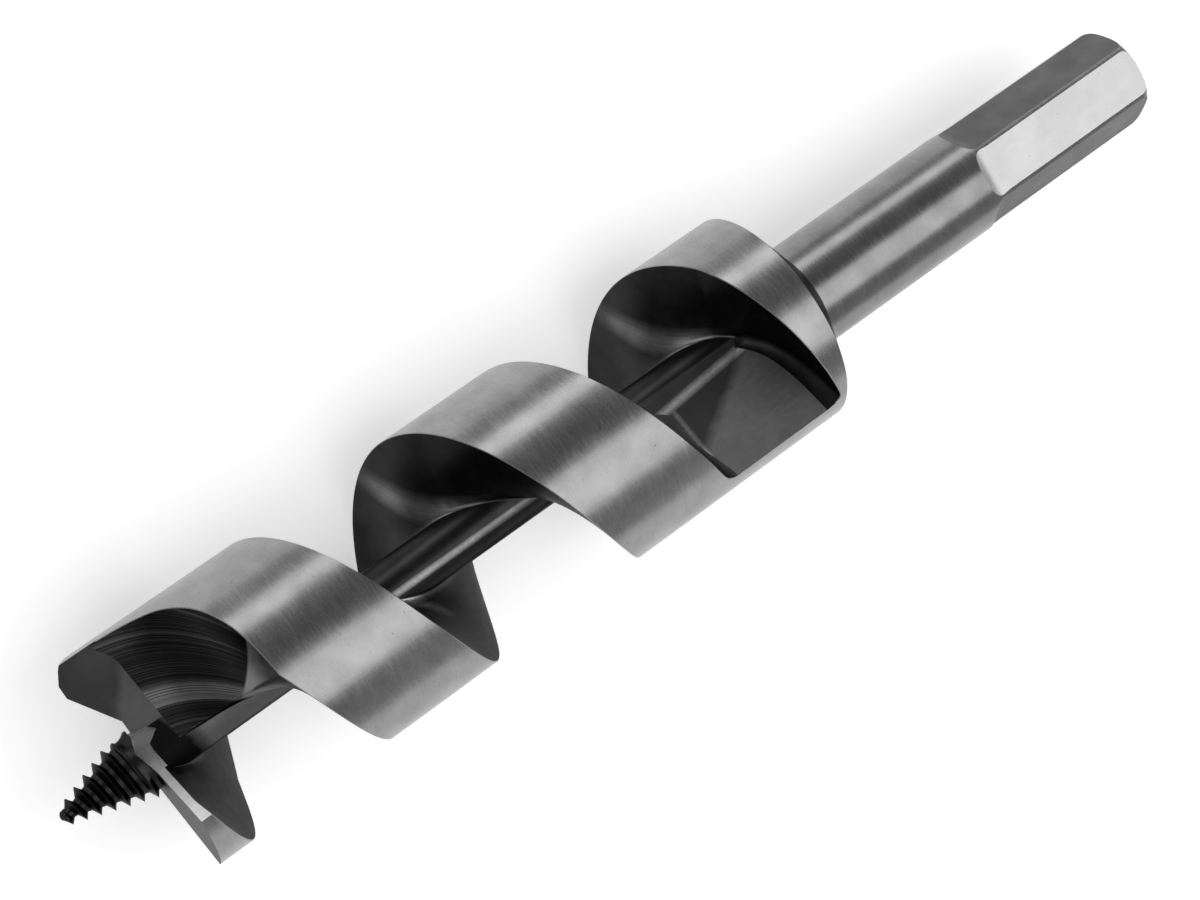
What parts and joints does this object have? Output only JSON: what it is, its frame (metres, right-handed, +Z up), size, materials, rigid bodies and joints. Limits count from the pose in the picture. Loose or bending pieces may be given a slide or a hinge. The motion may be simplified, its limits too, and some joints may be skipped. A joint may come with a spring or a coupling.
{
  "type": "auger bit",
  "caption": "Short auger bit for wood: one helical flight with ground lands, a lip and a spur at the head, a tapered lead screw and a hexagonal shank.",
  "frame": {"origin": "centre of the rear end face of the shank, on the axis of the bit", "axes": "+X along the axis from the point of the lead screw to the rear end of the shank, +Z up with the bit lying on its lands"},
  "size_m": [0.1708, 0.03, 0.03],
  "materials": {
    "twist_steel": "dark oxide in the flute, bright ground outer lands",
    "screw_steel": "dark oxide",
    "shank_steel": "bright, finely brushed"
  },
  "bodies": {
    "root": {"flight_body": "twist_steel", "lead_screw": "screw_steel", "hex_shank": "shank_steel"}
  },
  "joints": []
}
